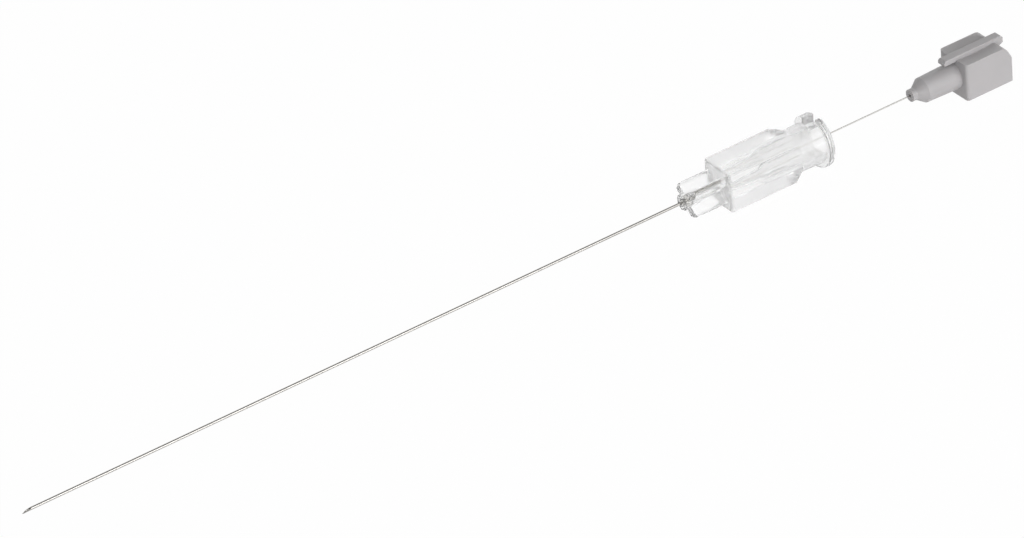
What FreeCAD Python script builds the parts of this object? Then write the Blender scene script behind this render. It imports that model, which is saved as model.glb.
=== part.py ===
import FreeCAD, Part
import math
import os

import Sketcher
from FreeCAD import Placement, Rotation, Vector

# A spinal needle: a thin steel tube with a bevelled point, bonded into a clear hub with a
# Luer socket, and a stylet, which is a steel wire moulded into a grey cap.
# +X runs along the needle from its point to the cap, and the bevel faces +Z.
# The origin is the centre of the hub's rear face, where the Luer socket opens.

doc = FreeCAD.newDocument("spinal_needle")

# Driving dimensions, in millimetres
driving = {
    # Needle tube
    "tubeDiameter": 0.41,
    "tubeBore": 0.24,
    "tubeReach": 102.7,          # from the point to the front of the hub
    "bevelLength": 1.7,
    "lancetLength": 0.9,         # length of the two side grinds behind the point
    "tubeStandsIn": 0.3,         # the tube's rear end, past the front of the chamber
    "tubeGap": 0.02,             # around the tube in its hole
    # Hub, outside, from front to rear
    "noseLength": 5.9,
    "gripLength": 10.5,          # to the rear corners of the square grip
    "barrelLength": 6.4,         # from those corners to the rear face
    "bossDiameter": 2.3,
    "bossLength": 2.4,
    "coreDiameter": 1.9,
    "ribDiameter": 5.25,
    "ribThickness": 1.25,
    "ribSetback": 0.55,
    "ribChamfer": 0.4,
    "gripWidth": 6.0,
    "gripEdgeRound": 0.3,
    "gripCornerRound": 0.5,
    "shoulderSlope": 0.7,        # the cone behind the grip, radius lost per length
    "barrelDiameter": 6.1,
    "barrelMouthDiameter": 6.4,
    "flangeDiameter": 7.8,
    "flangeThickness": 0.95,
    "flangeRound": 0.2,
    "lugDiameter": 7.8,
    "lugThickness": 2.1,
    "lugSweep": 0.24,            # turns
    "slotFloorRadius": 2.45,
    # Hub, inside, from rear to front
    "socketDiameter": 4.3,
    "socketTaper": 0.06,         # diameter lost per length
    "socketDepth": 10.0,
    "socketEdgeRound": 0.15,
    "funnelLength": 1.5,
    "funnelRound": 0.8,
    "chamberRearDiameter": 1.9,
    "chamberFrontDiameter": 0.9,
    "wellDiameter": 1.0,
    "wellDepth": 1.3,
    "bondRise": 0.25,            # the bond's fillet in front of the boss
    # Stylet
    "wireDiameter": 0.19,
    "drawnOut": 23.3,            # how far the stylet stands out of its seat
    "wireSeatDepth": 6.0,        # of the wire in the cap, behind the plug's hole
    "capLength": 7.85,
    "capWidth": 5.88,
    "capTop": 2.85,
    "capBottom": 3.0,
    "capEdgeRound": 0.25,
    "capCornerRound": 0.45,
    "thumbSlopeLength": 1.05,    # of the slope behind the dish, along the needle
    "thumbSlopeDrop": 1.9,
    "thumbRound": 1.2,
    "plugLength": 7.6,
    "plugDiameter": 3.62,
    "plugRootDiameter": 3.95,
    "plugConeLength": 1.35,
    "plugTipDiameter": 1.78,
    "plugTipLength": 0.75,
    "wireHoleDiameter": 0.5,
    "wireHoleDepth": 0.7,
    "dishDepth": 0.3,
    "dishCentre": 3.0,
    "dishLengthRadius": 30.0,
    "dishCrossRadius": 14.5,
    "keyWidth": 1.4,
    "keyTop": 3.3,
    "keyReach": 2.0,
    "keyNub": 0.3,
    "keyRound": 0.2,
    "keyFloorGap": 0.08,
    "keySideGap": 0.1,
    "keyEndGap": 0.1,
}

sizes = doc.addObject("Spreadsheet::Sheet", "sizes")
for row, (alias, number) in enumerate(driving.items(), start=1):
    sizes.set(f"A{row}", alias)
    sizes.set(f"B{row}", str(number))
    sizes.setAlias(f"B{row}", alias)
doc.recompute()


class Size:
    """A length with its expression in the sheet's words and its present value."""

    def __init__(self, text, value):
        self.text = text
        self.value = float(value)

    def __add__(self, other):
        other = as_size(other)
        return Size(f"({self.text} + {other.text})", self.value + other.value)

    def __sub__(self, other):
        other = as_size(other)
        return Size(f"({self.text} - {other.text})", self.value - other.value)

    def __mul__(self, other):
        other = as_size(other)
        return Size(f"({self.text} * {other.text})", self.value * other.value)

    def __truediv__(self, other):
        other = as_size(other)
        return Size(f"({self.text} / {other.text})", self.value / other.value)

    def __neg__(self):
        return Size(f"(0 - {self.text})", -self.value)


def as_size(number):
    return number if isinstance(number, Size) else Size(str(number), number)


def size(alias):
    return Size(f"sizes.{alias}", getattr(sizes, alias))


AXIS = as_size(0)


def new_body(name):
    body = doc.addObject("PartDesign::Body", name)
    body.Label = name
    return body


def origin_part(body, role):
    return next(item for item in body.Origin.OriginFeatures if item.Role == role)


def new_sketch(body, name, plane, station=None, turn_about_x=0, turn=0):
    """A sketch on an origin plane, moved along its normal and turned where that is asked."""
    sketch = body.newObject("Sketcher::SketchObject", name)
    sketch.AttachmentSupport = [(origin_part(body, plane), "")]
    sketch.MapMode = "FlatFace"
    spin = Rotation(Vector(1, 0, 0), turn_about_x) * Rotation(Vector(0, 0, 1), turn)
    sketch.AttachmentOffset = Placement(Vector(0, 0, 0), spin)
    if station is not None:
        sketch.setExpression("AttachmentOffset.Base.z", station.text)
    return sketch


def bind(sketch, kind, first, point, length):
    """Hold one point at a signed distance from the sketch's origin, along X or Y."""
    axis_line = -2 if kind == "DistanceX" else -1
    if length.text == "0":
        sketch.addConstraint(Sketcher.Constraint("PointOnObject", first, point, axis_line))
        return
    if length.value > 0:
        rule = Sketcher.Constraint(kind, -1, 1, first, point, length.value)
        text = length.text
    else:
        rule = Sketcher.Constraint(kind, first, point, -1, 1, -length.value)
        text = (-length).text
    index = sketch.addConstraint(rule)
    sketch.setExpression(f"Constraints[{index}]", text)


def bind_radius(sketch, curve, radius):
    index = sketch.addConstraint(Sketcher.Constraint("Radius", curve, radius.value))
    sketch.setExpression(f"Constraints[{index}]", radius.text)


def outline(sketch, corners):
    """A closed run of straight lines through corners, each bound to the sheet."""
    corners = [(as_size(x), as_size(y)) for x, y in corners]
    count = len(corners)
    for i in range(count):
        start = Vector(corners[i][0].value, corners[i][1].value, 0)
        end = Vector(corners[(i + 1) % count][0].value, corners[(i + 1) % count][1].value, 0)
        sketch.addGeometry(Part.LineSegment(start, end), False)
    for i in range(count):
        sketch.addConstraint(Sketcher.Constraint("Coincident", i, 2, (i + 1) % count, 1))
    for i, (x, y) in enumerate(corners):
        bind(sketch, "DistanceX", i, 1, x)
        bind(sketch, "DistanceY", i, 1, y)


def circle(sketch, diameter):
    radius = diameter / 2
    index = sketch.addGeometry(Part.Circle(Vector(0, 0, 0), Vector(0, 0, 1), radius.value), False)
    sketch.addConstraint(Sketcher.Constraint("Coincident", index, 3, -1, 1))
    bind_radius(sketch, index, radius)


def pad(body, name, sketch, length, midplane=False):
    feature = body.newObject("PartDesign::Pad", name)
    feature.Profile = sketch
    feature.Midplane = midplane
    feature.setExpression("Length", length.text)
    doc.recompute()
    return feature


def pocket(body, name, sketch, length, midplane=False):
    """A pocket that runs against the sketch's normal, and has to take something away."""
    before = body.Shape.Volume
    feature = body.newObject("PartDesign::Pocket", name)
    feature.Profile = sketch
    feature.Midplane = midplane
    feature.setExpression("Length", length.text)
    doc.recompute()
    if body.Shape.Volume >= before - 1e-6:
        raise RuntimeError(f"{name} cuts nothing")
    return feature


def turned(body, kind, name, sketch, axis=None):
    """A revolution or a groove about the needle's axis, or about a given one."""
    before = body.Shape.Volume if kind == "Groove" else 0
    feature = body.newObject("PartDesign::" + kind, name)
    feature.Profile = sketch
    feature.ReferenceAxis = axis or (origin_part(body, "X_Axis"), [""])
    feature.Angle = 360
    doc.recompute()
    if kind == "Groove" and body.Shape.Volume >= before - 1e-6:
        raise RuntimeError(f"{name} cuts nothing")
    return feature


def edges_where(shape, wanted):
    return [f"Edge{i}" for i, edge in enumerate(shape.Edges, start=1) if wanted(edge)]


def rounded(body, name, base, radius, wanted):
    edges = edges_where(base.Shape, wanted)
    if not edges:
        raise RuntimeError(f"{name} finds no edge")
    feature = body.newObject("PartDesign::Fillet", name)
    feature.Base = (base, edges)
    feature.setExpression("Radius", radius.text)
    doc.recompute()
    return feature


def runs_along(edge, direction):
    if not isinstance(edge.Curve, Part.Line):
        return False
    return abs(abs(edge.Curve.Direction.dot(direction)) - 1) < 1e-6


def near(a, b):
    return abs(a - b) < 1e-3


def middle(edge):
    return edge.BoundBox.Center


def is_ring(edge, radius, station):
    """Whether an edge is a circle of this radius at this place along the needle."""
    if not isinstance(edge.Curve, Part.Circle):
        return False
    return near(edge.Curve.Radius, radius.value) and near(edge.Curve.Center.x, station.value)


DIAGONAL = 1.41421356       # of a square whose side is 1
ALONG = Vector(1, 0, 0)
ACROSS = Vector(0, 1, 0)
UPWARD = Vector(0, 0, 1)

# Stations along X, measured from the hub's rear face
grip_rear = -size("barrelLength")
grip_front = grip_rear - size("gripLength")
hub_front = grip_front - size("noseLength")
point = hub_front - size("tubeReach")
tube_radius = size("tubeDiameter") / 2


def cut_bevel(body, radius, tip):
    """The long bevel, from the point on the lower side up to the heel."""
    over = size("bevelLength") * 0.2
    sketch = new_sketch(body, body.Label + "_bevel", "XZ_Plane")
    lift = radius * 2 * 0.2
    outline(sketch, [
        (tip - over, -(radius + lift)),
        (tip + size("bevelLength") + over, radius + lift),
        (tip - over, radius + lift),
    ])
    pocket(body, body.Label + "_bevel_cut", sketch, size("tubeDiameter") * 3, midplane=True)


LANCET_TURN = 40        # degrees that each side grind is turned about the needle
LANCET_COS = 0.766      # the cosine of that turn


def cut_lancet(body, side):
    """One of the two side grinds that sharpen the point."""
    sketch = new_sketch(body, f"{body.Label}_lancet_{side}", "XZ_Plane", turn_about_x=side * LANCET_TURN)
    low = -(tube_radius * LANCET_COS)
    rise = (tube_radius - low) / size("lancetLength")
    over = size("lancetLength") * 0.3
    outline(sketch, [
        (point - over, low - rise * over),
        (point + size("lancetLength") + over, tube_radius + rise * over),
        (point - over, tube_radius + rise * over),
    ])
    name = "lancet_near" if side < 0 else "lancet_far"
    pocket(body, name, sketch, size("tubeDiameter") * 3, midplane=True)


def make_cannula():
    body = new_body("cannula")
    sketch = new_sketch(body, "tube_section", "YZ_Plane", station=point)
    circle(sketch, size("tubeDiameter"))
    circle(sketch, size("tubeBore"))
    pad(body, "tube", sketch, grip_front + size("tubeStandsIn") - point)
    cut_bevel(body, tube_radius, point)
    cut_lancet(body, -1)
    cut_lancet(body, 1)
    return body


def make_bond():
    """The cured adhesive that fills the well around the tube."""
    body = new_body("needle_bond")
    sketch = new_sketch(body, "bond_section", "XZ_Plane")
    well = size("wellDiameter") / 2
    outline(sketch, [
        (hub_front - size("bondRise"), tube_radius),
        (hub_front, well),
        (hub_front + size("wellDepth"), well),
        (hub_front + size("wellDepth"), tube_radius),
    ])
    turned(body, "Revolution", "bond", sketch)
    return body


def add_grip(body):
    """The square grip, with a conical shoulder down to the barrel."""
    half = size("gripWidth") / 2
    corner = half * DIAGONAL
    barrel = size("barrelDiameter") / 2
    sink = size("flangeThickness") * 0.2
    shoulder_end = grip_rear + (corner - barrel + sink) / size("shoulderSlope")
    sketch = new_sketch(body, "grip_section", "YZ_Plane", station=grip_front)
    outline(sketch, [(-half, -half), (half, -half), (half, half), (-half, half)])
    block = pad(body, "grip", sketch, shoulder_end - grip_front)
    fronts = rounded(body, "grip_front_corners", block, size("gripCornerRound"),
                     lambda e: runs_along(e, UPWARD) and near(middle(e).x, grip_front.value))
    rounded(body, "grip_edges", fronts, size("gripEdgeRound"), lambda e: runs_along(e, ALONG))
    cone = new_sketch(body, "shoulder_section", "XZ_Plane")
    lead = size("gripEdgeRound") + half * 0.3
    outline(cone, [
        (grip_rear - lead, corner + lead * size("shoulderSlope")),
        (shoulder_end + lead, barrel - sink - lead * size("shoulderSlope")),
        (shoulder_end + lead, corner + lead * size("shoulderSlope")),
    ])
    turned(body, "Groove", "shoulder", cone)


def add_barrel(body):
    """Everything that is turned: boss, core, barrel and flange."""
    boss = size("bossDiameter") / 2
    core = size("coreDiameter") / 2
    barrel = size("barrelDiameter") / 2
    mouth = size("barrelMouthDiameter") / 2
    flange = size("flangeDiameter") / 2
    corner = size("gripWidth") / 2 * DIAGONAL
    barrel_front = grip_rear + (corner - barrel) / size("shoulderSlope") - size("flangeThickness") * 0.3
    boss_end = hub_front + size("bossLength")
    sketch = new_sketch(body, "turned_section", "XZ_Plane")
    outline(sketch, [
        (hub_front, AXIS),
        (hub_front, boss),
        (boss_end, boss),
        (boss_end, core),
        (barrel_front, core),
        (barrel_front, barrel),
        (-size("flangeThickness"), mouth),
        (-size("flangeThickness"), flange),
        (AXIS, flange),
        (AXIS, AXIS),
    ])
    feature = turned(body, "Revolution", "barrel", sketch)
    rounded(body, "flange_edges", feature, size("flangeRound"),
            lambda e: isinstance(e.Curve, Part.Circle) and near(e.Curve.Radius, flange.value))


def add_ribs(body):
    """Four thick ribs with round edges, between the grip's corners and the boss."""
    half = size("ribThickness") / 2
    centre = size("ribDiameter") / 2 - half
    start = hub_front + size("ribSetback")
    sketch = new_sketch(body, "rib_section", "YZ_Plane", station=start, turn=45)
    left = Part.LineSegment(Vector(-half.value, 0, 0), Vector(-half.value, centre.value, 0))
    right = Part.LineSegment(Vector(half.value, centre.value, 0), Vector(half.value, 0, 0))
    base = Part.LineSegment(Vector(half.value, 0, 0), Vector(-half.value, 0, 0))
    crown = Part.ArcOfCircle(Part.Circle(Vector(0, centre.value, 0), Vector(0, 0, 1), half.value), 0, math.pi)
    for line in (left, right, base, crown):
        sketch.addGeometry(line, False)
    for rule in (
        ("Coincident", 1, 2, 2, 1), ("Coincident", 2, 2, 0, 1),
        ("Tangent", 0, 2, 3, 2), ("Tangent", 1, 1, 3, 1),
        ("Vertical", 0), ("Vertical", 1),
        ("PointOnObject", 0, 1, -1), ("PointOnObject", 1, 2, -1), ("PointOnObject", 3, 3, -2),
    ):
        sketch.addConstraint(Sketcher.Constraint(*rule))
    bind(sketch, "DistanceY", 3, 3, centre)
    bind_radius(sketch, 3, half)
    rib = pad(body, "rib", sketch, grip_front + size("gripCornerRound") - start)
    ring = body.newObject("PartDesign::PolarPattern", "ribs")
    ring.Originals = [rib]
    ring.Axis = (origin_part(body, "X_Axis"), [""])
    ring.Angle = 360
    ring.Occurrences = 4
    body.Tip = ring
    doc.recompute()
    rim = size("ribDiameter") / 2
    chamfer = size("ribChamfer")
    bevel = new_sketch(body, "rib_chamfer_section", "XZ_Plane")
    outline(bevel, [
        (start - chamfer, rim - chamfer * 2),
        (start + chamfer * 2, rim + chamfer),
        (start - chamfer, rim + chamfer),
    ])
    turned(body, "Groove", "rib_chamfer", bevel)


def add_lug(body):
    """The lug beside the key slot, whose front face winds down to the flange."""
    inner = size("barrelDiameter") / 2 - size("flangeThickness") * 0.2
    outer = size("lugDiameter") / 2
    sketch = new_sketch(body, "lug_section", "XZ_Plane")
    outline(sketch, [
        (-size("lugThickness"), inner),
        (-(size("flangeThickness") / 2), inner),
        (-(size("flangeThickness") / 2), outer),
        (-size("lugThickness"), outer),
    ])
    lug = body.newObject("PartDesign::AdditiveHelix", "lug")
    lug.Profile = sketch
    lug.ReferenceAxis = (origin_part(body, "X_Axis"), [""])
    lug.Mode = 2
    lug.LeftHanded = True
    lug.setExpression("Height", (size("lugThickness") - size("flangeThickness")).text)
    lug.setExpression("Turns", size("lugSweep").text)
    doc.recompute()
    trim = new_sketch(body, "rear_section", "XZ_Plane")
    outline(trim, [
        (AXIS, AXIS), (size("lugThickness"), AXIS),
        (size("lugThickness"), outer * 1.2), (AXIS, outer * 1.2),
    ])
    turned(body, "Groove", "rear_face", trim)


def cut_inside(body):
    """The Luer socket, a funnel, the chamber, the tube's hole and the well for the bond."""
    mouth = size("socketDiameter") / 2
    end = mouth - size("socketDepth") * size("socketTaper") / 2
    hole = tube_radius + size("tubeGap")
    well = size("wellDiameter") / 2
    funnel_end = -(size("socketDepth") + size("funnelLength"))
    sketch = new_sketch(body, "socket_section", "XZ_Plane")
    outline(sketch, [
        (AXIS, AXIS),
        (AXIS, mouth),
        (-size("socketDepth"), end),
        (funnel_end, size("chamberRearDiameter") / 2),
        (grip_front, size("chamberFrontDiameter") / 2),
        (grip_front, hole),
        (hub_front + size("wellDepth"), hole),
        (hub_front + size("wellDepth"), well),
        (hub_front, well),
        (hub_front, AXIS),
    ])
    socket = turned(body, "Groove", "socket", sketch)
    soft = rounded(body, "funnel_rounds", socket, size("funnelRound"),
                   lambda e: is_ring(e, end, -size("socketDepth"))
                   or is_ring(e, size("chamberRearDiameter") / 2, funnel_end))
    rounded(body, "socket_edge", soft, size("socketEdgeRound"), lambda e: is_ring(e, mouth, AXIS))


def cut_slot(body):
    """The slot at the top of the flange that takes the cap's key."""
    half = size("keyWidth") / 2 + size("keySideGap")
    sketch = new_sketch(body, "slot_section", "YZ_Plane")
    top = size("lugDiameter") * 0.7
    floor = size("slotFloorRadius")
    outline(sketch, [(-half, floor), (half, floor), (half, top), (-half, top)])
    pocket(body, "slot", sketch, size("keyReach") + size("keyEndGap"))


def make_hub():
    body = new_body("needle_hub")
    add_grip(body)
    add_barrel(body)
    add_ribs(body)
    add_lug(body)
    cut_inside(body)
    cut_slot(body)
    return body


def make_wire():
    """The stylet's wire, ground flush with the tube's bevel when it is seated."""
    body = new_body("stylet_wire")
    sketch = new_sketch(body, "wire_section", "YZ_Plane", station=point)
    circle(sketch, size("wireDiameter"))
    rear = size("wireHoleDepth") + size("wireSeatDepth") - size("plugLength")
    pad(body, "wire", sketch, rear - point)
    slope = tube_radius * 2 / size("bevelLength")
    over = size("bevelLength") * 0.2
    rise = slope * (size("bevelLength") + over) - tube_radius
    bevel = new_sketch(body, "wire_bevel", "XZ_Plane")
    outline(bevel, [
        (point - over, -(tube_radius + slope * over)),
        (point + size("bevelLength") + over, rise),
        (point - over, rise),
    ])
    pocket(body, "wire_bevel_cut", bevel, size("tubeDiameter") * 3, midplane=True)
    body.setExpression("Placement.Base.x", "sizes.drawnOut")
    return body


def add_cap_block(body):
    """The square cap, with a round rear edge for the thumb."""
    top = size("capTop")
    rear = size("capLength")
    crest = rear - size("thumbSlopeLength")
    waist = top - size("thumbSlopeDrop")
    sketch = new_sketch(body, "cap_section", "XZ_Plane")
    outline(sketch, [
        (AXIS, -size("capBottom")), (rear, -size("capBottom")),
        (rear, waist), (crest, top), (AXIS, top),
    ])
    block = pad(body, "cap", sketch, size("capWidth"), midplane=True)
    slope_ends = (rear.value, crest.value)
    thumb = rounded(body, "thumb_edge", block, size("thumbRound"),
                    lambda e: runs_along(e, ACROSS) and middle(e).z > 0
                    and any(near(middle(e).x, end) for end in slope_ends))
    corners = rounded(body, "cap_front_corners", thumb, size("capCornerRound"),
                      lambda e: runs_along(e, UPWARD) and near(middle(e).x, 0))
    rounded(body, "cap_edges", corners, size("capEdgeRound"),
            lambda e: runs_along(e, ALONG) and middle(e).z < 0)


def cut_dish(body):
    """The shallow hollow in the top of the cap, for a finger, curved both ways."""
    radius = size("dishCrossRadius")
    floor = size("capTop") - size("dishDepth")
    reach = size("capWidth") * 0.56
    drop = Size(f"sqrt({radius.text} ^ 2 - {reach.text} ^ 2)", (radius.value ** 2 - reach.value ** 2) ** 0.5)
    rim = floor + radius - drop
    turn_height = floor + size("dishLengthRadius")
    sketch = new_sketch(body, "dish_section", "YZ_Plane", station=size("dishCentre"))
    left = Vector(-reach.value, rim.value, 0)
    right = Vector(reach.value, rim.value, 0)
    sketch.addGeometry(Part.Arc(left, Vector(0, floor.value, 0), right), False)
    sketch.addGeometry(Part.LineSegment(right, left), False)
    sketch.addGeometry(Part.LineSegment(Vector(-reach.value, turn_height.value, 0),
                                        Vector(reach.value, turn_height.value, 0)), True)
    sketch.addConstraint(Sketcher.Constraint("Coincident", 0, 2, 1, 1))
    sketch.addConstraint(Sketcher.Constraint("Coincident", 1, 2, 0, 1))
    sketch.addConstraint(Sketcher.Constraint("PointOnObject", 0, 3, -2))
    bind(sketch, "DistanceY", 0, 3, floor + radius)
    bind_radius(sketch, 0, radius)
    bind(sketch, "DistanceX", 0, 1, -reach)
    bind(sketch, "DistanceX", 0, 2, reach)
    for end in (1, 2):
        bind(sketch, "DistanceX", 2, end, reach if end == 2 else -reach)
        bind(sketch, "DistanceY", 2, end, turn_height)
    turned(body, "Groove", "dish", sketch, axis=(sketch, ["Axis0"]))


def add_key(body):
    """The rib along the top, which reaches forward as the key for the hub's slot."""
    bottom = size("slotFloorRadius") + size("keyFloorGap")
    rear = size("capLength")
    root = bottom - size("thumbRound")
    sketch = new_sketch(body, "key_section", "XZ_Plane")
    outline(sketch, [
        (-size("keyReach"), bottom),
        (size("keyNub"), bottom),
        (size("keyNub"), root),
        (rear - size("keyNub"), root),
        (rear - size("keyNub"), bottom - size("keyNub") * 2),
        (rear + size("keyNub"), bottom - size("keyNub")),
        (rear + size("keyNub"), size("keyTop") - size("keyNub")),
        (rear, size("keyTop")),
        (-(size("keyReach") - size("keyNub")), size("keyTop")),
        (-size("keyReach"), size("keyTop") - size("keyNub")),
    ])
    key = pad(body, "key", sketch, size("keyWidth"), midplane=True)
    rounded(body, "key_edges", key, size("keyRound"),
            lambda e: runs_along(e, ALONG) and near(middle(e).z, size("keyTop").value))


def add_plug(body):
    """The plug that sits in the Luer socket, with the wire's hole in its tip."""
    front = -size("plugLength")
    tip = size("plugTipDiameter") / 2
    cone_start = front + size("plugTipLength")
    cone_end = cone_start + size("plugConeLength")
    buried = size("capCornerRound")
    sketch = new_sketch(body, "plug_section", "XZ_Plane")
    outline(sketch, [
        (front, AXIS),
        (front, tip),
        (cone_start, tip),
        (cone_end, size("plugDiameter") / 2),
        (AXIS, size("plugRootDiameter") / 2),
        (buried, size("plugRootDiameter") / 2),
        (buried, AXIS),
    ])
    turned(body, "Revolution", "plug", sketch)
    hole = size("wireHoleDiameter") / 2
    wire = size("wireDiameter") / 2
    bore = new_sketch(body, "wire_hole_section", "XZ_Plane")
    hole_end = front + size("wireHoleDepth")
    outline(bore, [
        (front, AXIS),
        (front, hole),
        (hole_end, hole),
        (hole_end, wire),
        (hole_end + size("wireSeatDepth"), wire),
        (hole_end + size("wireSeatDepth"), AXIS),
    ])
    turned(body, "Groove", "wire_hole", bore)


def make_cap():
    body = new_body("stylet_cap")
    add_cap_block(body)
    cut_dish(body)
    add_key(body)
    add_plug(body)
    body.setExpression("Placement.Base.x", "sizes.drawnOut")
    return body


nodes = [make_cannula(), make_bond(), make_hub(), make_wire(), make_cap()]
doc.recompute()

for item in doc.Objects:
    if "Invalid" in item.State or "Error" in item.State:
        raise RuntimeError(f"{item.Name} failed: {item.State}")
for node in nodes:
    if node.Shape.isNull() or not node.Shape.isValid() or len(node.Shape.Solids) != 1:
        raise RuntimeError(f"{node.Label} is not one valid solid")

os.makedirs("parts", exist_ok=True)
for node in nodes:
    node.Shape.exportStep(f"parts/{node.Label}.step")
    box = node.Shape.BoundBox
    print(f"{node.Label}: {node.Shape.Volume:.2f} mm3, x {box.XMin:.2f} to {box.XMax:.2f}, "
          f"z {box.ZMin:.2f} to {box.ZMax:.2f}")
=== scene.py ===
import math

import bmesh
import bpy
from mathutils import Matrix, Vector


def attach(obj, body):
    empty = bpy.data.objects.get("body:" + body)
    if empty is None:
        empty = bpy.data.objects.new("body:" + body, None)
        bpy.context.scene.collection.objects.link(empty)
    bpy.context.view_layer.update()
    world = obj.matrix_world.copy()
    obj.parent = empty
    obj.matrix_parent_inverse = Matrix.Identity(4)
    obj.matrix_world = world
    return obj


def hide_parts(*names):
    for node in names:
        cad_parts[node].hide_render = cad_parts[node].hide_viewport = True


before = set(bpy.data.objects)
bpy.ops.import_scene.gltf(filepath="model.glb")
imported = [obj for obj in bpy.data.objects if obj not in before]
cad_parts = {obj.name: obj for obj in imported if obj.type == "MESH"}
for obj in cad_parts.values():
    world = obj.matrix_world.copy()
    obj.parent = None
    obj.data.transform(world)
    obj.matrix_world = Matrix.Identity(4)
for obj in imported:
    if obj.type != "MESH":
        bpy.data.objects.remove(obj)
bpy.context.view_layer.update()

mm = 0.001


# Small helpers

def linear(hexColour):  # an sRGB hex value, as the linear colour that a socket takes
    parts = [int(hexColour[i:i + 2], 16) / 255 for i in (1, 3, 5)]
    opaque = 1.0
    return tuple(p / 12.92 if p <= 0.04045 else ((p + 0.055) / 1.055) ** 2.4 for p in parts) + (opaque,)


def addNode(tree, kind, inputs=None, links=None, **settings):
    node = tree.nodes.new("ShaderNode" + kind)
    for name, value in settings.items():
        setattr(node, name, value)
    for name, value in (inputs or {}).items():
        node.inputs[name].default_value = value
    for name, (source, output) in (links or {}).items():
        tree.links.new(source.outputs[output], node.inputs[name])
    return node


def newMaterial(name):
    material = bpy.data.materials.new(name)
    material.use_nodes = True
    tree = material.node_tree
    tree.nodes.clear()
    surface = addNode(tree, "BsdfPrincipled")
    output = addNode(tree, "OutputMaterial", links={"Surface": (surface, "BSDF")})
    return material, tree, surface, output


def deselectAll():
    if bpy.context.object and bpy.context.object.mode != "OBJECT":
        bpy.ops.object.mode_set(mode="OBJECT")
    bpy.ops.object.select_all(action="DESELECT")


def activate(piece):
    deselectAll()
    piece.select_set(True)
    bpy.context.view_layer.objects.active = piece


def settle(piece):
    activate(piece)
    bpy.ops.object.transform_apply(location=True, rotation=True, scale=True)


# Materials

# Stainless steel, drawn through a die and polished: sharp, narrow highlights that run along the
# tube, broken by faint lines about 0.07 mm apart, coarser than the real ones so that they show
def drawnStainless(name, look):
    material, tree, surface, output = newMaterial(name)
    coords = addNode(tree, "TexCoord")
    stretch = addNode(tree, "Mapping", links={"Vector": (coords, "Object")},
                      inputs={"Scale": (look["lineAlong"], look["lineAcross"], look["lineAcross"])})
    lines = addNode(tree, "TexNoise", links={"Vector": (stretch, "Vector")},
                    inputs={"Scale": 1.0, "Detail": look["lineDetail"]})
    tone = addNode(tree, "ValToRGB", links={"Fac": (lines, "Fac")})
    tone.color_ramp.elements[0].color = linear(look["dark"])
    tone.color_ramp.elements[1].color = linear(look["pale"])
    bump = addNode(tree, "Bump", links={"Height": (lines, "Fac")},
                   inputs={"Strength": look["lineStrength"], "Distance": look["lineDepth"] * mm})
    tree.links.new(tone.outputs["Color"], surface.inputs["Base Color"])
    tree.links.new(bump.outputs["Normal"], surface.inputs["Normal"])
    surface.inputs["Metallic"].default_value = 1.0
    surface.inputs["Roughness"].default_value = look["roughness"]
    return material


# lineAlong and lineAcross are drawing lines per metre; lineDepth is in mm
tubeLook = {"dark": "#B2AFAB", "pale": "#C5C3BF", "roughness": 0.12, "lineAlong": 400.0,
            "lineAcross": 14000.0, "lineDetail": 3.0, "lineStrength": 0.05, "lineDepth": 0.01}
wireLook = {"dark": "#C3C1BD", "pale": "#D6D4D0", "roughness": 0.18, "lineAlong": 500.0,
            "lineAcross": 20000.0, "lineDetail": 3.0, "lineStrength": 0.05, "lineDepth": 0.01}


# Clear moulded plastic and cured epoxy: see-through but slightly blurred, with paler faces and painted
# shade:
# the colour is painted darker towards the rims, where the surface turns away from the eye
def clearPlastic(name, look):
    material, tree, surface, output = newMaterial(name)
    # Painted shade: the base colour darkens from the face colour to the rim colour as the surface turns
    # away from the eye
    facing = addNode(tree, "LayerWeight", inputs={"Blend": look["rimSpread"]})
    rim = addNode(tree, "ValToRGB", links={"Fac": (facing, "Facing")})
    rim.color_ramp.elements[0].color = linear(look["colour"])
    rim.color_ramp.elements[0].position = look["rimFrom"]
    rim.color_ramp.elements[1].color = linear(look["rim"])
    tree.links.new(rim.outputs["Color"], surface.inputs["Base Color"])
    body = addNode(tree, "VolumeAbsorption",
                   inputs={"Color": linear(look["body"]), "Density": look["density"]})
    tree.links.new(body.outputs["Volume"], output.inputs["Volume"])
    surface.inputs["Transmission Weight"].default_value = 1 - look["haze"]
    surface.inputs["IOR"].default_value = look["ior"]
    surface.inputs["Roughness"].default_value = look["roughness"]
    return material


# haze is the share of light that the plastic scatters; density is how strongly its body absorbs
# the rim colour is painted shade at the edges that turn away from the eye, not a tint of the plastic
hubLook = {"colour": "#FAFAFA", "rim": "#E8E8E8", "rimFrom": 0.7, "rimSpread": 0.5,
           "body": "#DCDCDC", "density": 6.0, "ior": 1.53, "roughness": 0.22, "haze": 0.06}
bondLook = {"colour": "#FAF9F6", "rim": "#E2E0D8", "rimFrom": 0.5, "rimSpread": 0.5,
            "body": "#EADFC8", "density": 60.0, "ior": 1.52, "roughness": 0.06, "haze": 0.1}


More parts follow.
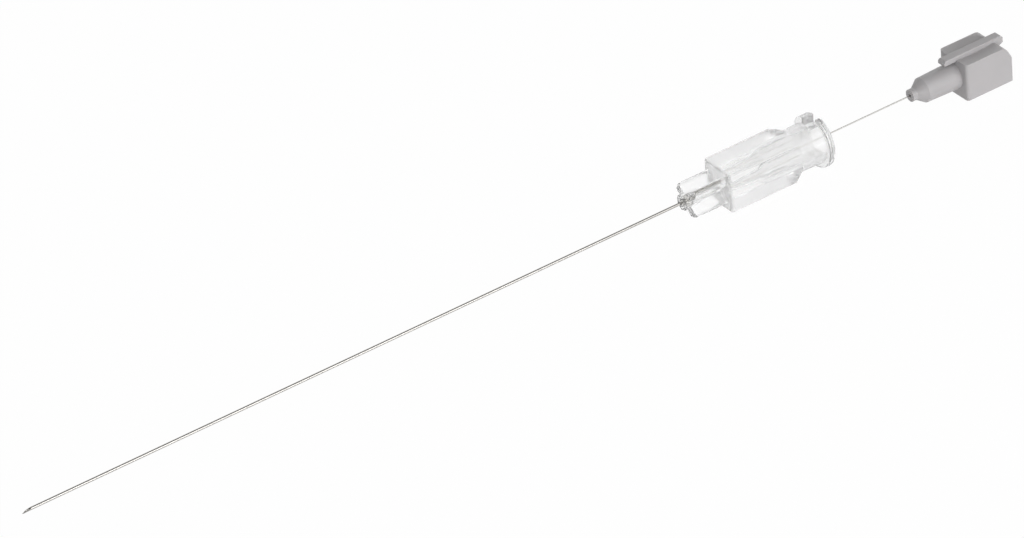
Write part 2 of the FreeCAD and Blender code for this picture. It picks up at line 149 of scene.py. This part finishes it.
# Polypropylene from a spark-eroded mould: soft wide highlights, a fine grain, a little light
# passing through the thin edges, and tones that vary faintly over some 4 mm
def satinPlastic(name, look):
    material, tree, surface, output = newMaterial(name)
    coords = addNode(tree, "TexCoord")
    grain = addNode(tree, "TexNoise", links={"Vector": (coords, "Object")},
                    inputs={"Scale": 1 / (look["grain"] * mm), "Detail": look["detail"]})
    clouds = addNode(tree, "TexNoise", links={"Vector": (coords, "Object")},
                     inputs={"Scale": 1 / (look["clouds"] * mm), "Detail": look["detail"]})
    tone = addNode(tree, "ValToRGB", links={"Fac": (clouds, "Fac")})
    tone.color_ramp.elements[0].color = linear(look["dark"])
    tone.color_ramp.elements[1].color = linear(look["pale"])
    bump = addNode(tree, "Bump", links={"Height": (grain, "Fac")},
                   inputs={"Strength": look["grainStrength"], "Distance": look["grainDepth"] * mm})
    tree.links.new(tone.outputs["Color"], surface.inputs["Base Color"])
    tree.links.new(bump.outputs["Normal"], surface.inputs["Normal"])
    surface.inputs["Roughness"].default_value = look["roughness"]
    surface.inputs["Subsurface Weight"].default_value = look["glow"]
    surface.inputs["Subsurface Radius"].default_value = look["glowReach"]
    surface.inputs["Subsurface Scale"].default_value = look["glowDepth"] * mm
    return material


# grain, clouds, grainDepth and glowDepth are in mm; glow is the share of light that passes inside
capLook = {"dark": "#ACAAAB", "pale": "#B6B3B4", "roughness": 0.36, "grain": 0.06, "clouds": 4.0,
           "detail": 2.0, "grainStrength": 0.12, "grainDepth": 0.02,
           "glow": 0.15, "glowReach": (1.0, 0.8, 0.7), "glowDepth": 0.6}

steel = drawnStainless("drawnStainlessTube", tubeLook)
wireSteel = drawnStainless("drawnStainlessWire", wireLook)
hubPlastic = clearPlastic("clearPolycarbonate", hubLook)
bondResin = clearPlastic("clearEpoxy", bondLook)
capPlastic = satinPlastic("greyPolypropylene", capLook)

for name, material in (("cannula", steel), ("stylet_wire", wireSteel), ("needle_hub", hubPlastic),
                       ("needle_bond", bondResin), ("stylet_cap", capPlastic)):
    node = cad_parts[name]
    for slot in node.material_slots:
        slot.material = material
print("materials done")


# The tube: a drawn steel tube, ground to a long bevel and then on both sides to a lancet point

tubeSizes = {
    "outer": 0.205 * mm, "bore": 0.12 * mm, "sides": 64,
    "point": -125.5 * mm, "back": -16.6 * mm,
    "bevel": 1.7 * mm, "lancet": 0.9 * mm, "lancetTurn": 40.0, "lancetRoot": 0.157 * mm,
    "facesEnd": 0.9, "mergeGap": 0.0001 * mm, "smoothAngle": 25,
}


def roundBar(name, radius, sides, front, back):  # a bar along X, with flat ends
    deselectAll()
    bpy.ops.mesh.primitive_cylinder_add(vertices=sides, radius=radius, depth=back - front,
                                        location=((front + back) / 2, 0, 0), rotation=(0, math.pi / 2, 0))
    bar = bpy.context.object
    bar.name = name
    settle(bar)
    return bar


def bore(bar, radius):  # the end faces are inset to the bore, taken out, and their rims joined
    activate(bar)
    bpy.ops.object.mode_set(mode="EDIT")
    bpy.ops.mesh.select_mode(type="FACE")
    bpy.ops.mesh.select_all(action="DESELECT")
    mesh = bmesh.from_edit_mesh(bar.data)
    for face in mesh.faces:
        face.select_set(abs(face.normal.x) > tubeSizes["facesEnd"])
    bmesh.update_edit_mesh(bar.data)
    outer = max(math.hypot(v.co.y, v.co.z) for v in mesh.verts)
    halfSide = math.pi / tubeSizes["sides"]
    bpy.ops.mesh.inset(thickness=(outer - radius) * math.cos(halfSide), use_individual=True)
    bpy.ops.mesh.bridge_edge_loops()
    bpy.ops.object.mode_set(mode="OBJECT")


def grind(piece, place, normal):  # cuts away the side that the normal points to, and closes the cut
    activate(piece)
    bpy.ops.object.mode_set(mode="EDIT")
    bpy.ops.mesh.select_all(action="SELECT")
    bpy.ops.mesh.bisect(plane_co=place, plane_no=normal, use_fill=True, clear_outer=True,
                        threshold=tubeSizes["mergeGap"])
    bpy.ops.object.mode_set(mode="OBJECT")


def bevelNormal(rise, run):  # across a grind that climbs by rise over run along X
    return Vector((-rise, 0, run)).normalized()


def lancetTurned(vector, side):
    return Matrix.Rotation(math.radians(tubeSizes["lancetTurn"] * side), 3, "X") @ vector


def grindPoint(tube):
    outer = tubeSizes["outer"]
    point = tubeSizes["point"]
    grind(tube, (point, 0, -outer), bevelNormal(2 * outer, tubeSizes["bevel"]))
    for side in (-1, 1):
        root = lancetTurned(Vector((0, 0, -tubeSizes["lancetRoot"])), side)
        normal = lancetTurned(bevelNormal(outer + tubeSizes["lancetRoot"], tubeSizes["lancet"]), side)
        grind(tube, Vector((point, 0, 0)) + root, normal)


def shade(piece, degrees):
    activate(piece)
    bpy.ops.object.shade_smooth_by_angle(angle=math.radians(degrees))


steelTube = roundBar("steelTube", tubeSizes["outer"], tubeSizes["sides"],
                     tubeSizes["point"], tubeSizes["back"])
bore(steelTube, tubeSizes["bore"])
grindPoint(steelTube)
shade(steelTube, tubeSizes["smoothAngle"])
steelTube.data.materials.append(steel)
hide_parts("cannula")
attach(steelTube, "needle")
print("tube done")


# The stylet's wire, ground at its tip to lie flush with the tube's bevel when it is home

wireSizes = {
    "radius": 0.095 * mm, "sides": 40,
    "tip": -102.2 * mm, "back": 22.4 * mm, "drawnOut": 23.3 * mm,
}

styletWire = roundBar("styletWire", wireSizes["radius"], wireSizes["sides"],
                      wireSizes["tip"], wireSizes["back"])
grind(styletWire, (tubeSizes["point"] + wireSizes["drawnOut"], 0, -tubeSizes["outer"]),
      bevelNormal(2 * tubeSizes["outer"], tubeSizes["bevel"]))
shade(styletWire, tubeSizes["smoothAngle"])
styletWire.data.materials.append(wireSteel)
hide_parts("stylet_wire")
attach(styletWire, "stylet")
print("wire done")


# The bead of resin that holds the tube: it fills the well, rises round the tube in front, and
# runs on as a film round the tube to the back of the nose

beadSizes = {
    "back": -21.5 * mm, "front": -22.8 * mm, "outer": 0.51 * mm, "hole": 0.2055 * mm, "rise": 0.25 * mm,
    "film": 0.27 * mm, "filmEnd": -16.95 * mm, "sides": 64, "riseSteps": 8,
    "mergeGap": 0.0005 * mm, "smoothAngle": 40,
}


def spun(name, profile, sides):  # a profile of (x, radius) points, spun about X and closed on itself
    deselectAll()
    bpy.ops.mesh.primitive_circle_add(vertices=len(profile), radius=mm)
    piece = bpy.context.object
    piece.name = name
    for vertex, (x, radius) in zip(piece.data.vertices, profile):
        vertex.co = (x, 0, radius)
    settle(piece)
    bpy.ops.object.mode_set(mode="EDIT")
    bpy.ops.mesh.select_all(action="SELECT")
    bpy.ops.mesh.spin(steps=sides, angle=2 * math.pi, center=(0, 0, 0), axis=(1, 0, 0))
    bpy.ops.mesh.select_all(action="SELECT")
    bpy.ops.mesh.remove_doubles(threshold=beadSizes["mergeGap"])
    bpy.ops.mesh.normals_make_consistent(inside=False)
    bpy.ops.object.mode_set(mode="OBJECT")
    return piece


beadProfile = [(beadSizes["filmEnd"], beadSizes["hole"]), (beadSizes["filmEnd"], beadSizes["film"]),
               (beadSizes["back"], beadSizes["film"]), (beadSizes["back"], beadSizes["outer"]),
               (beadSizes["front"], beadSizes["outer"])]
for step in range(1, beadSizes["riseSteps"] + 1):
    share = step / beadSizes["riseSteps"]
    beadProfile.append((beadSizes["front"] - beadSizes["rise"] * share ** 2,
                        beadSizes["outer"] + (beadSizes["hole"] - beadSizes["outer"]) * share))
resinBead = spun("resinBead", beadProfile, beadSizes["sides"])
shade(resinBead, beadSizes["smoothAngle"])
resinBead.data.materials.append(bondResin)
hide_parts("needle_bond")
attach(resinBead, "needle")
print("bead done")


# Stage: floor, world, lamps, camera

# shade is how much of the lit card, with the object's shadow, shows through its plain white;
# mirrored is how bright the card looks in reflections
floorSet = {"size": 6.0, "height": -3.9 * mm, "colour": "#F2F2F2", "seen": "#FFFFFF", "shade": 0.02,
            "mirrored": 0.6, "roughness": 0.9}

deselectAll()
bpy.ops.mesh.primitive_plane_add(size=floorSet["size"], location=(0, 0, floorSet["height"]))
floor = bpy.context.object
floor.name = "studioFloor"
settle(floor)
floorPaint, tree, surface, output = newMaterial("whiteCard")
surface.inputs["Base Color"].default_value = linear(floorSet["colour"])
surface.inputs["Roughness"].default_value = floorSet["roughness"]
surface.inputs["Specular IOR Level"].default_value = 0.0
rays = addNode(tree, "LightPath")
mirrored = addNode(tree, "Math", operation="MULTIPLY", links={0: (rays, "Is Glossy Ray")},
                   inputs={1: floorSet["mirrored"]})
seen = addNode(tree, "Math", operation="MAXIMUM",
               links={0: (rays, "Is Camera Ray"), 1: (mirrored, "Value")})
seenToo = addNode(tree, "Math", operation="MAXIMUM",
                  links={0: (seen, "Value"), 1: (rays, "Is Transmission Ray")})
share = addNode(tree, "Math", operation="MULTIPLY", links={0: (seenToo, "Value")},
                inputs={1: 1 - floorSet["shade"]})
glow = addNode(tree, "Emission", inputs={"Color": linear(floorSet["seen"]), "Strength": 1.0})
mixed = addNode(tree, "MixShader",
                links={"Fac": (share, "Value"), 1: (surface, "BSDF"), 2: (glow, "Emission")})
tree.links.new(mixed.outputs["Shader"], output.inputs["Surface"])
floor.data.materials.append(floorPaint)

# The room: white walls and a dark ceiling, so that steel has dark edges; what is seen through the
# clear plastic has a paler ceiling; the flag darkens the side that the needle points to
worldSet = {"walls": 1.0, "ceiling": 0.1, "throughWalls": 1.0, "throughCeiling": 0.82,
            "wallTop": 0.6, "ceilingFrom": 0.78, "flag": 0.5, "flagFrom": -0.2, "flagFull": -0.75}
world = bpy.data.worlds.new("studio")
bpy.context.scene.world = world
world.use_nodes = True
tree = world.node_tree
tree.nodes.clear()
rays = addNode(tree, "LightPath")
toward = addNode(tree, "TexCoord")
parts = addNode(tree, "SeparateXYZ", links={"Vector": (toward, "Generated")})
levels = [addNode(tree, "Math", operation="MULTIPLY_ADD", links={0: (rays, "Is Transmission Ray")},
                  inputs={1: worldSet[through] - worldSet[seen], 2: worldSet[seen]})
          for seen, through in (("walls", "throughWalls"), ("ceiling", "throughCeiling"))]
height = addNode(tree, "MapRange", interpolation_type="SMOOTHSTEP",
                 links={"Value": (parts, "Z"),
                        "To Min": (levels[0], "Value"), "To Max": (levels[1], "Value")},
                 inputs={"From Min": worldSet["wallTop"], "From Max": worldSet["ceilingFrom"]})
flag = addNode(tree, "MapRange", links={"Value": (parts, "X")}, interpolation_type="SMOOTHSTEP",
               inputs={"From Min": worldSet["flagFull"], "From Max": worldSet["flagFrom"],
                       "To Min": worldSet["flag"], "To Max": 1.0})
flagged = addNode(tree, "Math", operation="MAXIMUM",
                  links={0: (flag, "Result"), 1: (rays, "Is Transmission Ray")})
lit = addNode(tree, "Math", operation="MULTIPLY", links={0: (height, "Result"), 1: (flagged, "Value")})
room = addNode(tree, "Background", inputs={"Color": linear("#FFFFFF")}, links={"Strength": (lit, "Value")})
white = addNode(tree, "Background", inputs={"Color": linear("#FFFFFF"), "Strength": 1.0})
mixed = addNode(tree, "MixShader", links={"Fac": (rays, "Is Camera Ray"), 1: (room, "Background"),
                                          2: (white, "Background")})
addNode(tree, "OutputWorld", links={"Surface": (mixed, "Shader")})

lampSet = {
    "frontSoftbox": {"place": (-0.1, -1.1, 0.14), "aim": (0, 0, 0),
                     "wide": 1.3, "high": 0.22, "power": 4.7},
    "nearSoftbox": {"place": (0.1, -0.75, 0.75), "aim": (0, 0, 0),
                    "wide": 1.2, "high": 0.9, "power": 3.7},
}
for name, lamp in lampSet.items():
    deselectAll()
    bpy.ops.object.light_add(type="AREA", location=lamp["place"])
    light = bpy.context.object
    light.name = name
    light.data.shape = "RECTANGLE"
    light.data.size = lamp["wide"]
    light.data.size_y = lamp["high"]
    light.data.energy = lamp["power"]
    aim = Vector(lamp["aim"]) - Vector(lamp["place"])
    light.rotation_euler = aim.to_track_quat("-Z", "Y").to_euler()

cameraSet = {"place": (-0.36598, -0.51393, 0.41268), "turn": (55.606, 4.969, -34.955),
             "lens": 196.5, "sensor": 36.0, "nearest": 0.01, "farthest": 20.0}
deselectAll()
bpy.ops.object.camera_add(location=cameraSet["place"],
                          rotation=[math.radians(angle) for angle in cameraSet["turn"]])
camera = bpy.context.object
camera.name = "productCamera"
camera.data.lens = cameraSet["lens"]
camera.data.sensor_width = cameraSet["sensor"]
camera.data.clip_start = cameraSet["nearest"]
camera.data.clip_end = cameraSet["farthest"]
bpy.context.scene.camera = camera
bpy.context.scene.view_settings.view_transform = "Standard"

# Light crosses many clear walls in the hub, so it is followed for longer than by default
lightBounces = {"max_bounces": 32, "transmission_bounces": 32, "glossy_bounces": 16}
for setting, count in lightBounces.items():
    setattr(bpy.context.scene.cycles, setting, count)
print("stage done")
